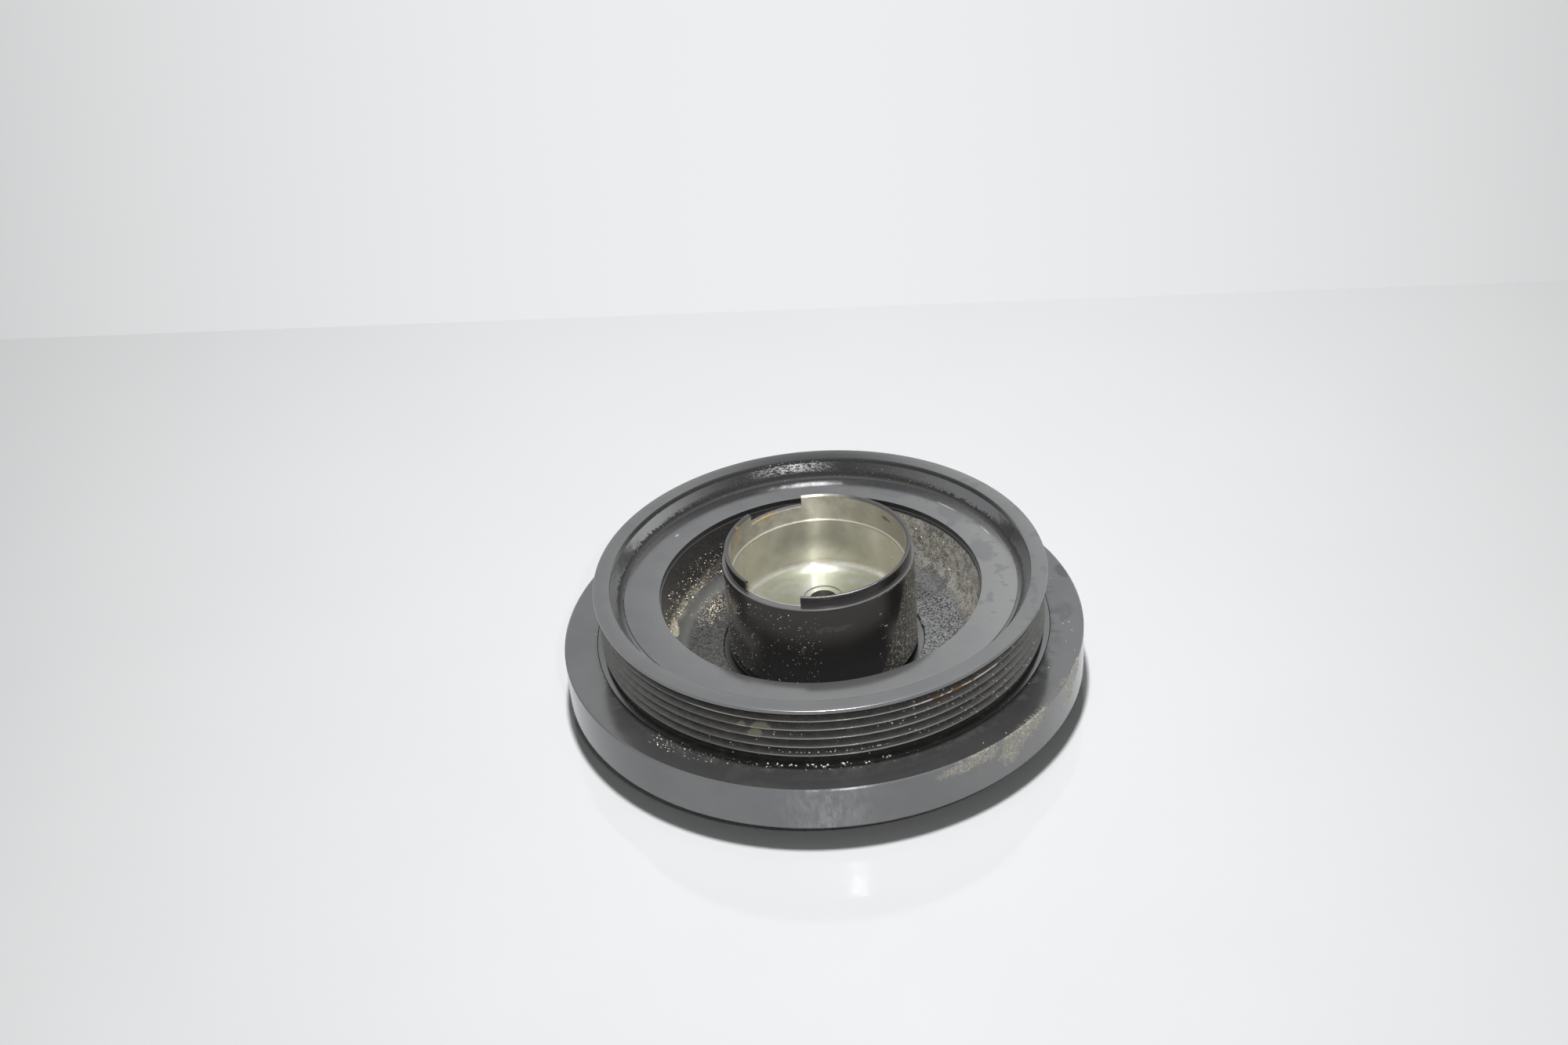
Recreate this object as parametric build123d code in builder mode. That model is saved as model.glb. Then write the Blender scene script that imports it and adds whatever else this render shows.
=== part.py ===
from build123d import *
import os
from math import cos, radians, sin, tan

os.makedirs("parts", exist_ok=True)

# Harmonic balancer, in millimetres. The origin is on the shaft axis at the rear face of the
# nose, which the part stands on, and +Z runs along the axis towards the front of the engine.

# Bolts through the cup's floor, with angles from +X towards +Y
bolt_count = 3
bolt_circle_diameter = 22.6
bolt_first_angle = 86.0
bolt_hole_diameter = 9.8
bolt_seat_width = 2.1
bolt_seat_depth = 0.55
bolt_land = 2.8

# Nose and shoulder of the hub sleeve
spigot_depth = 13.0
spigot_chamfer = 1.2
nose_wall = 6.5
nose_length = 7.5
nose_chamfer = 1.0
shoulder_width = 6.1

# Cup of the hub sleeve
relief_step = 1.7
relief_height = 1.8
cup_wall = 3.1
cup_height = 40.0
cup_depth = 30.7
cup_corner_radius = 4.0
mouth_step = 0.6
mouth_depth = 10.2
mouth_ledge_chamfer = 0.25
lip_wall = 1.5
lip_height = 4.4
lip_edge_radius = 0.3
lip_inner_chamfer = 0.7
ledge_chamfer = 0.35

# Slots in the lip
slot_count = 2
slot_first_angle = 118.0
slot_spacing_angle = 120.0
slot_width_angle = 39.0

# Web and bowl of the casting
nose_clearance = 0.6
collar_thickness = 2.5
collar_width = 7.0
collar_slope = 1.4
web_set_back = 2.6
web_thickness = 8.9
turned_seat_width = 3.8
turned_seat_depth = 1.1
bowl_channel_width = 20.2
bowl_depth = 23.5
bowl_edge_height = 2.0
bowl_ledge = 0.5
bowl_draft_angle = 6.0
bowl_corner_radius = 9.0
bowl_wall = 7.4
bowl_back_radius = 12.0

# Pocket behind the rim, and the drum that carries the rubber
pocket_roof = 10.0
pocket_roof_width = 5.8
pocket_roof_flat = 0.6
pocket_draft_angle = 3.0
drum_wall = 5.0
drum_set_in = 0.8

# Rubber and inertia ring
rubber_thickness = 4.5
rubber_set_in = 0.9
rubber_dish = 0.8
rubber_front_gap = 0.3
ring_width = 11.7
ring_height = 16.4
ring_edge_chamfer = 0.5
ring_bore_chamfer = 0.15

# Belt grooves and the flanges beside them
groove_count = 6
groove_pitch = 3.56
groove_angle = 40.0
groove_depth = 2.9
rib_flat = 0.45
rib_set_in = 1.1
rib_crest_radius = 0.2
first_groove_set_back = 3.42
flange_edge_radius = 0.35
flange_clearance = 0.4
lower_flange_proud = 0.3
lower_flange_drop = 1.2
lower_flange_thickness = 2.8

# Rim and the edge of the flat annulus
rim_height = 6.0
rim_face_width = 5.6
rim_slope_width = 4.6
rim_inner_radius = 0.6
rim_outer_chamfer = 0.4
annulus_edge_chamfer = 0.25
runout_depth = 0.35
runout_width = 1.1
runout_radius = 1.6

# Levels along the axis
shoulder_z = nose_length
collar_z = shoulder_z - collar_thickness
web_rear_z = collar_z + web_set_back
bowl_floor_z = web_rear_z + web_thickness
turned_seat_z = bowl_floor_z - turned_seat_depth
cup_foot_z = turned_seat_z + relief_height
cup_top_z = cup_foot_z + cup_height
ledge_z = cup_top_z - lip_height
mouth_z = cup_top_z - mouth_depth
cup_floor_z = cup_top_z - cup_depth
annulus_z = bowl_floor_z + bowl_depth
bowl_edge_z = annulus_z - bowl_edge_height
pocket_top_z = annulus_z - pocket_roof
rim_top_z = annulus_z + rim_height
first_groove_z = rim_top_z - first_groove_set_back
last_groove_z = first_groove_z - (groove_count - 1) * groove_pitch
flange_top_z = last_groove_z - lower_flange_drop
flange_bottom_z = flange_top_z - lower_flange_thickness
ring_bottom_z = flange_top_z - ring_height
drum_rear_z = ring_bottom_z + drum_set_in

# Radii of the hub sleeve, from the bolts outwards
bolt_circle_r = bolt_circle_diameter / 2
bolt_hole_r = bolt_hole_diameter / 2
spigot_r = bolt_circle_r + bolt_hole_r + bolt_land
nose_r = spigot_r + nose_wall
seat_r = nose_r + shoulder_width
cup_outer_r = seat_r + relief_step
cup_bore_r = cup_outer_r - cup_wall
mouth_r = cup_bore_r + mouth_step
lip_outer_r = mouth_r + lip_wall

# Radii of the casting and of what it carries, from the hub sleeve outwards
bowl_slope = tan(radians(bowl_draft_angle))
pocket_slope = tan(radians(pocket_draft_angle))
collar_bore_r = nose_r + nose_clearance
collar_r = seat_r + collar_width
turned_seat_r = seat_r + turned_seat_width
bowl_foot_r = cup_outer_r + bowl_channel_width
bowl_cast_r = bowl_foot_r + (bowl_edge_z - bowl_floor_z) * bowl_slope
bowl_mouth_r = bowl_cast_r + bowl_ledge
bowl_back_foot_r = bowl_foot_r + bowl_wall
bowl_back_top_r = bowl_back_foot_r + (pocket_top_z - web_rear_z) * bowl_slope
pocket_roof_r = bowl_back_top_r + pocket_roof_width
pocket_outer_r = pocket_roof_r + (pocket_top_z - drum_rear_z) * pocket_slope
pocket_corner_radius = (pocket_roof_width - pocket_roof_flat) / 2
drum_r = pocket_outer_r + drum_wall
ring_bore_r = drum_r + rubber_thickness
ring_r = ring_bore_r + ring_width
lower_flange_r = ring_bore_r - flange_clearance
rim_r = lower_flange_r - lower_flange_proud
rim_inner_r = rim_r - rim_face_width
annulus_r = rim_inner_r - rim_slope_width
rib_r = rim_r - rib_set_in
groove_root_r = rib_r - groove_depth

# Belt groove section: half widths at the ribs and at the root, and the slope of its sides
side_slope = tan(radians(groove_angle / 2))
half_opening = (groove_pitch - rib_flat) / 2
half_root = half_opening - groove_depth * side_slope


def polar_point(radius, angle):
    """Return the point at a radius and an angle in degrees from +X."""
    return (radius * cos(radians(angle)), radius * sin(radians(angle)))


def corner(section, point):
    """Return the section's corner nearest to a point given as (radius, height)."""
    return section.vertices().sort_by_distance(point)[0]


def rib_points():
    """Return the corners of the ribs' crests as (radius, height), from the rim downwards."""
    points = []
    for index in range(1, groove_count):
        middle_z = first_groove_z - (index - 0.5) * groove_pitch
        points.append((rib_r, middle_z + rib_flat / 2))
        points.append((rib_r, middle_z - rib_flat / 2))
    return points


def groove_points():
    """Return the belt grooves' corners as (radius, height), from the rim downwards."""
    last_side = (last_groove_z - half_root - flange_top_z) / side_slope
    crests = [
        (rim_r, first_groove_z + half_opening + rib_set_in * side_slope),
        *rib_points(),
        (groove_root_r + last_side, flange_top_z),
    ]
    points = []
    for index in range(groove_count):
        centre_z = first_groove_z - index * groove_pitch
        points.append(crests[2 * index])
        points.append((groove_root_r, centre_z + half_root))
        points.append((groove_root_r, centre_z - half_root))
        points.append(crests[2 * index + 1])
    return points


# Hub sleeve: cup with a slotted lip, floor for the bolts and hollow nose in one turned piece
with BuildPart() as hub_sleeve:
    with BuildSketch(Plane.XZ) as sleeve_section:
        with BuildLine():
            Polyline(
                (0, spigot_depth),
                (spigot_r, spigot_depth),
                (spigot_r, 0),
                (nose_r, 0),
                (nose_r, shoulder_z),
                (seat_r, shoulder_z),
                (seat_r, cup_foot_z),
                (cup_outer_r, cup_foot_z),
                (cup_outer_r, ledge_z),
                (lip_outer_r, ledge_z),
                (lip_outer_r, cup_top_z),
                (mouth_r, cup_top_z),
                (mouth_r, mouth_z),
                (cup_bore_r, mouth_z),
                (cup_bore_r, cup_floor_z),
                (0, cup_floor_z),
                close=True,
            )
        make_face()
        fillet(corner(sleeve_section, (cup_bore_r, cup_floor_z)), cup_corner_radius)
        chamfer(corner(sleeve_section, (spigot_r, 0)), spigot_chamfer)
        chamfer(corner(sleeve_section, (nose_r, 0)), nose_chamfer)
        chamfer(corner(sleeve_section, (cup_outer_r, ledge_z)), ledge_chamfer)
        chamfer(corner(sleeve_section, (cup_bore_r, mouth_z)), mouth_ledge_chamfer)
        fillet(corner(sleeve_section, (lip_outer_r, cup_top_z)), lip_edge_radius)
        chamfer(corner(sleeve_section, (mouth_r, cup_top_z)), lip_inner_chamfer)
    revolve(axis=Axis.Z)
    with BuildSketch(Plane.XY.offset(ledge_z)):
        with PolarLocations(
            0, slot_count, slot_first_angle, slot_spacing_angle * (slot_count - 1), endpoint=True
        ):
            Polygon(
                (0, 0),
                polar_point(cup_outer_r * 2, -slot_width_angle / 2),
                polar_point(cup_outer_r * 2, slot_width_angle / 2),
                align=None,
            )
    extrude(amount=lip_height, mode=Mode.SUBTRACT)
    with Locations((0, 0, cup_floor_z)):
        with PolarLocations(bolt_circle_r, bolt_count, bolt_first_angle):
            CounterBoreHole(
                radius=bolt_hole_r,
                counter_bore_radius=bolt_hole_r + bolt_seat_width,
                counter_bore_depth=bolt_seat_depth,
                depth=cup_floor_z - spigot_depth,
            )
hub_sleeve.part.label = "hub_sleeve"
export_step(hub_sleeve.part, "parts/hub_sleeve.step")

# Pulley casting: web, bowl, flat annulus, rim with the belt grooves, and the drum behind them
with BuildPart() as pulley_casting:
    with BuildSketch(Plane.XZ) as casting_section:
        with BuildLine():
            Polyline(
                (rim_inner_r, rim_top_z),
                (rim_r, rim_top_z),
                *groove_points(),
                (lower_flange_r, flange_top_z),
                (lower_flange_r, flange_bottom_z),
                (drum_r, flange_bottom_z),
                (drum_r, drum_rear_z),
                (pocket_outer_r, drum_rear_z),
                (pocket_roof_r, pocket_top_z),
                (bowl_back_top_r, pocket_top_z),
                (bowl_back_foot_r, web_rear_z),
                (collar_r, web_rear_z),
                (collar_r - collar_slope, collar_z),
                (collar_bore_r, collar_z),
                (collar_bore_r, shoulder_z),
                (seat_r, shoulder_z),
                (seat_r, turned_seat_z),
                (turned_seat_r, turned_seat_z),
                (turned_seat_r, bowl_floor_z),
                (bowl_foot_r, bowl_floor_z),
                (bowl_cast_r, bowl_edge_z),
                (bowl_mouth_r, bowl_edge_z),
                (bowl_mouth_r, annulus_z),
                (annulus_r, annulus_z),
                (annulus_r, annulus_z - runout_depth),
                (annulus_r + runout_width, annulus_z - runout_depth),
                close=True,
            )
        make_face()
        fillet(corner(casting_section, (bowl_foot_r, bowl_floor_z)), bowl_corner_radius)
        fillet(corner(casting_section, (bowl_back_foot_r, web_rear_z)), bowl_back_radius)
        fillet(corner(casting_section, (pocket_roof_r, pocket_top_z)), pocket_corner_radius)
        fillet(corner(casting_section, (bowl_back_top_r, pocket_top_z)), pocket_corner_radius)
        fillet(
            corner(casting_section, (annulus_r + runout_width, annulus_z - runout_depth)),
            runout_radius,
        )
        fillet(corner(casting_section, (rim_inner_r, rim_top_z)), rim_inner_radius)
        chamfer(corner(casting_section, (rim_r, rim_top_z)), rim_outer_chamfer)
        fillet(corner(casting_section, groove_points()[0]), flange_edge_radius)
        for crest_point in rib_points():
            fillet(corner(casting_section, crest_point), rib_crest_radius)
        chamfer(corner(casting_section, (annulus_r, annulus_z)), annulus_edge_chamfer)
    revolve(axis=Axis.Z)
pulley_casting.part.label = "pulley_casting"
export_step(pulley_casting.part, "parts/pulley_casting.step")

# Rubber ring: moulded between the drum and the inertia ring, dished at both ends
rubber_front_z = flange_bottom_z - rubber_front_gap
rubber_rear_z = drum_rear_z + rubber_set_in
rubber_middle_r = (drum_r + ring_bore_r) / 2
with BuildPart() as rubber_ring:
    with BuildSketch(Plane.XZ):
        with BuildLine():
            Line((drum_r, rubber_rear_z), (drum_r, rubber_front_z))
            ThreePointArc(
                (drum_r, rubber_front_z),
                (rubber_middle_r, rubber_front_z - rubber_dish),
                (ring_bore_r, rubber_front_z),
            )
            Line((ring_bore_r, rubber_front_z), (ring_bore_r, rubber_rear_z))
            ThreePointArc(
                (ring_bore_r, rubber_rear_z),
                (rubber_middle_r, rubber_rear_z + rubber_dish),
                (drum_r, rubber_rear_z),
            )
        make_face()
    revolve(axis=Axis.Z)
rubber_ring.part.label = "rubber_ring"
export_step(rubber_ring.part, "parts/rubber_ring.step")

# Inertia ring: heavy plain ring round the rubber, level with the lower flange
with BuildPart() as inertia_ring:
    with BuildSketch(Plane.XZ) as ring_section:
        with BuildLine():
            Polyline(
                (ring_bore_r, ring_bottom_z),
                (ring_r, ring_bottom_z),
                (ring_r, flange_top_z),
                (ring_bore_r, flange_top_z),
                close=True,
            )
        make_face()
        for level_z in (ring_bottom_z, flange_top_z):
            chamfer(corner(ring_section, (ring_r, level_z)), ring_edge_chamfer)
            chamfer(corner(ring_section, (ring_bore_r, level_z)), ring_bore_chamfer)
    revolve(axis=Axis.Z)
inertia_ring.part.label = "inertia_ring"
export_step(inertia_ring.part, "parts/inertia_ring.step")
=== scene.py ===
"""Looks of a harmonic balancer: finishes, casting shell, grit, camera and studio.

The frame is in metres. Sizes of the part are written in millimetres, as in its section.
"""

import logging
import math
import random
from dataclasses import dataclass
from enum import Enum
from typing import Optional, Sequence, Union

import bmesh
import bpy
from mathutils import Euler, Matrix, Vector, noise


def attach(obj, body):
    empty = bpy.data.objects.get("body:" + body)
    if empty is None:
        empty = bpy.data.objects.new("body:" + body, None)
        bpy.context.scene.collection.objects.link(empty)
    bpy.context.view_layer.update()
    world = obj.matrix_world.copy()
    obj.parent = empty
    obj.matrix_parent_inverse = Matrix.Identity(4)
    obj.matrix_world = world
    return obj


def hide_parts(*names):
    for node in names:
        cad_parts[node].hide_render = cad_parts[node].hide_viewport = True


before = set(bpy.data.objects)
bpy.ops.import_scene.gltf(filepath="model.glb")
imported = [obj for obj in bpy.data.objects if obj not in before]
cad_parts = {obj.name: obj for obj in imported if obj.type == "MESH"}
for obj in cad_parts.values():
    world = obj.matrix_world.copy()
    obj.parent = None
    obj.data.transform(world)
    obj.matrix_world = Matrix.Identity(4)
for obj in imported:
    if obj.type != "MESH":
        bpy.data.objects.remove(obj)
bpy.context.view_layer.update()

log = logging.getLogger("balancer")
logging.basicConfig(level=logging.INFO, format="%(name)s: %(message)s")

MM = 0.001
BODY = "root"
FULL_TURN = 2 * math.pi

# Levels of the rim's top, the annulus and the flange's top, and radii of the ring and the cup.
RIM_Z = 46.0
ANNULUS_Z = 40.0
FLANGE_Z = 23.58
RING_R = 91.4
CUP_R = 33.3

Socket = bpy.types.NodeSocket
Value = Union[float, Socket]
Colour = tuple[float, float, float]
Tint = Union[Socket, Colour]
Place = tuple[float, float, float]

COAT: Colour = (0.225, 0.226, 0.228)
PAINTED_SHEEN: Colour = (0.42, 0.42, 0.42)
BLOTCH: Colour = (0.17, 0.176, 0.19)
UNDER_RIM_SHADE: Colour = (0.06, 0.057, 0.054)
GRIME_AND_SHADE: Colour = (0.03, 0.029, 0.028)
FILM: Colour = (0.16, 0.16, 0.15)
SAND: Colour = (0.45, 0.38, 0.27)
CHALK: Colour = (0.74, 0.69, 0.53)
RUST: Colour = (0.55, 0.21, 0.04)


class Slot(Enum):
    """Material slots of the record."""

    SLEEVE = "sleeve_steel"
    CASTING = "casting_paint"
    RUBBER = "rubber"
    RING = "ring_paint"


class Mixed(Enum):
    """What a mix node mixes: its type, its first input and its output."""

    NUMBER = ("FLOAT", 2, 0)
    COLOUR = ("RGBA", 6, 2)


class Tree:
    """Node tree that short calls add nodes to."""

    def __init__(self, tree: bpy.types.NodeTree) -> None:
        """Work on a tree that is there already."""
        self.tree = tree

    def node(
        self, kind: str, *values: Union[Value, Sequence[float]], **settings: object
    ) -> bpy.types.Node:
        """Add a node.

        Args:
            kind: The node's type without its first word.
            *values: What its first inputs get, in order.
            **settings: Its properties.

        Returns:
            The node.
        """
        node = self.tree.nodes.new("ShaderNode" + kind)
        for name, setting in settings.items():
            setattr(node, name, setting)
        for target, value in zip(node.inputs, values):
            self.put(target, value)
        return node

    def put(self, target: Socket, value: Union[Value, Sequence[float]]) -> None:
        """Link a socket, or set its value.

        Args:
            target: The socket to feed.
            value: Another socket, a number, a vector or a colour.
        """
        if isinstance(value, bpy.types.NodeSocket):
            self.tree.links.new(value, target)
        elif target.type == "RGBA":
            target.default_value = (*value, 1.0)
        else:
            target.default_value = value

    def split(self, vector: Socket) -> tuple[Socket, Socket, Socket]:
        """Return a vector's three parts."""
        return tuple(self.node("SeparateXYZ", vector).outputs)

    def join(self, first: Value, second: Value, third: Value) -> Socket:
        """Return a vector of three numbers."""
        return self.node("CombineXYZ", first, second, third).outputs[0]

    def vector(self, operation: str, first: Socket, scale: Value = 1.0) -> Socket:
        """Return a vector node's result.

        Args:
            operation: The node's operation.
            first: The vector it works on.
            scale: The factor, for the operation that scales.

        Returns:
            The vector, or the length, that comes out.
        """
        node = self.node("VectorMath", first, operation=operation)
        self.put(node.inputs[3], scale)
        return node.outputs[1 if operation == "LENGTH" else 0]

    def math(self, operation: str, first: Value, second: Value = 0.0) -> Socket:
        """Return a math node's result for one or two numbers."""
        return self.node("Math", first, second, operation=operation).outputs[0]

    def both(self, *factors: Value) -> Socket:
        """Return the product of several factors."""
        result = factors[0]
        for factor in factors[1:]:
            result = self.math("MULTIPLY", result, factor)
        return result

    def either(self, *factors: Value) -> Socket:
        """Return the largest of several factors."""
        result = factors[0]
        for factor in factors[1:]:
            result = self.math("MAXIMUM", result, factor)
        return result

    def fade(
        self, value: Value, start: float, end: float, low: float = 0.0, high: float = 1.0
    ) -> Socket:
        """Return a smooth change from low to high as a number goes from start to end."""
        numbers = (start, end, low, high) if start < end else (end, start, high, low)
        return self.node("MapRange", value, *numbers, interpolation_type="SMOOTHSTEP").outputs[0]

    def band(self, value: Value, low: float, high: float, soft: float = 0.05) -> Socket:
        """Return 1 where a number lies between two limits, each of which fades softly."""
        return self.both(
            self.fade(value, low - soft, low + soft), self.fade(value, high + soft, high - soft)
        )


class Graph(Tree):
    """Node tree of one material, whose coordinates are millimetres in the part's frame.

    A finish starts with one layer and gets others over it, each with its own mask.
    """

    def __init__(self, name: str) -> None:
        """Start a material with one shader.

        Args:
            name: The material's name.
        """
        self.material = bpy.data.materials.new(name)
        self.material.use_nodes = True
        super().__init__(self.material.node_tree)
        self.shader = self.tree.nodes["Principled BSDF"]
        self.point = self.vector("SCALE", self.node("TexCoord").outputs["Object"], 1 / MM)
        self.x, self.y, self.z = self.split(self.point)
        self.radius = self.vector("LENGTH", self.join(self.x, self.y, 0.0))
        self.layers: list[Tint] = []
        self.height: Optional[Socket] = None

    def up(self, start: float, end: float) -> Socket:
        """Return a fade between two levels."""
        return self.fade(self.z, start, end)

    def out(self, start: float, end: float) -> Socket:
        """Return a fade between two radii."""
        return self.fade(self.radius, start, end)

    def bearing(self, middle: float) -> Socket:
        """Return the angle round the axis in degrees, measured from a given one.

        Args:
            middle: The angle that counts as 0, in degrees from +X.

        Returns:
            The angle, which jumps on the far side.
        """
        turned = self.node("VectorRotate", self.point, rotation_type="Z_AXIS")
        turned.inputs["Angle"].default_value = -math.radians(middle)
        x, y, _ = self.split(turned.outputs[0])
        return self.math("MULTIPLY", self.math("ARCTAN2", y, x), 360 / FULL_TURN)

    def arc(self, start: float, end: float, soft: float = 4.0) -> Socket:
        """Return 1 between two angles round the axis.

        Args:
            start: The first angle in degrees from +X.
            end: The second angle, which is larger.
            soft: How far each end fades, in degrees.

        Returns:
            The factor.
        """
        away = self.math("ABSOLUTE", self.bearing((start + end) / 2))
        half = (end - start) / 2
        return self.fade(away, half + soft, half - soft)

    def noise(
        self, grain: float, detail: float = 2.0, rough: float = 0.5, at: Optional[Socket] = None
    ) -> Socket:
        """Return noise around 0.5 whose lumps are about a given size.

        Args:
            grain: The lumps' size in millimetres.
            detail: How many finer layers are added.
            rough: How strong the finer layers are.
            at: The place that is read, where it isn't the point itself.

        Returns:
            The noise.
        """
        node = self.node("TexNoise", self.point if at is None else at)
        node.inputs["Scale"].default_value = 1 / grain
        node.inputs["Detail"].default_value = detail
        node.inputs["Roughness"].default_value = rough
        return node.outputs[0]

    def rings(self, grain: float, length: float = 60.0) -> Socket:
        """Return the marks of a lathe: noise whose lumps are many widths long round the axis."""
        along = self.both(self.bearing(0.0), 1 / length)
        return self.noise(grain, 3.0, 0.6, at=self.join(self.radius, self.z, along))

    def specks(self, spacing: float, size: float, share: float = 0.5) -> Socket:
        """Return 1 in scattered small specks.

        Args:
            spacing: The distance between specks in millimetres.
            size: A speck's radius in millimetres.
            share: The share of the places that has one.

        Returns:
            The factor.
        """
        node = self.node("TexVoronoi", self.point)
        node.inputs["Scale"].default_value = 1 / spacing
        near = self.fade(node.outputs["Distance"], size / spacing, 0.6 * size / spacing)
        chance = self.split(node.outputs["Color"])[0]
        return self.both(near, self.math("LESS_THAN", chance, share))

    def patch(
        self, centre: Place, size: Place, ragged: float = 0.5, grain: float = 3.0, edge: float = 0.4
    ) -> Socket:
        """Return a ragged patch round a point on the part.

        Args:
            centre: The point, in millimetres.
            size: Half sizes across the radius, along the circle and up.
            ragged: How far noise moves the edge, as a share of the size.
            grain: The size of the edge's lumps in millimetres.
            edge: How softly it fades, as a share of the size.

        Returns:
            1 in the middle, fading to 0.
        """
        turn = (0.0, 0.0, math.atan2(centre[1], centre[0]))
        local = self.node("Mapping", self.point, centre, turn, size, vector_type="TEXTURE")
        away = self.vector("LENGTH", local.outputs[0])
        shift = self.math("MULTIPLY_ADD", self.noise(grain, 4.0, 0.65), 4 * ragged)
        shift.node.inputs[2].default_value = -2 * ragged
        return self.fade(self.math("ADD", away, shift), 1 + edge / 2, 1 - edge / 2)

    def patches(self, *spots: tuple) -> Socket:
        """Return several ragged patches together, each given as the arguments of one."""
        return self.either(*(self.patch(*spot) for spot in spots))

    def mix(self, factor: Value, first: Tint, second: Tint, what: Mixed = Mixed.COLOUR) -> Socket:
        """Return a mix of two colours or numbers.

        Args:
            factor: 0 for the first one, 1 for the second.
            first: The first colour or number.
            second: The second one.
            what: Whether they are colours or numbers.

        Returns:
            The colour or number.
        """
        kind, start, result = what.value
        node = self.node("Mix", factor, data_type=kind)
        self.put(node.inputs[start], first)
        self.put(node.inputs[start + 1], second)
        return node.outputs[result]

    def start(self, colour: Tint, metal: Value, rough: Value) -> None:
        """Set the lowest layer's colour, how metallic it is and its roughness."""
        self.layers = [colour, metal, rough]

    def over(self, colour: Tint, metal: Value, rough: Value, *factors: Value) -> None:
        """Lay another layer over those so far.

        Args:
            colour: Its colour.
            metal: How metallic it is.
            rough: Its roughness.
            *factors: Where it lies, as factors that are multiplied.
        """
        factor = self.both(*factors)
        kinds = (Mixed.COLOUR, Mixed.NUMBER, Mixed.NUMBER)
        pairs = zip(self.layers, (colour, metal, rough), kinds)
        self.layers = [self.mix(factor, below, above, what) for below, above, what in pairs]

    def emboss(self, height: Socket, depth: float, factor: Value = 1.0) -> None:
        """Add relief from a height field, whose 1 stands for a depth in millimetres."""
        relief = self.both(height, depth, factor)
        self.height = relief if self.height is None else self.math("ADD", self.height, relief)

    def done(self) -> bpy.types.Material:
        """Feed the shader from the layers and the relief, and return the material."""
        for name, value in zip(("Base Color", "Metallic", "Roughness"), self.layers):
            self.put(self.shader.inputs[name], value)
        if self.height is not None:
            bump = self.node("Bump")
            bump.inputs["Distance"].default_value = MM
            self.put(bump.inputs["Height"], self.height)
            self.put(self.shader.inputs["Normal"], bump.outputs[0])
        return self.material


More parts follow.
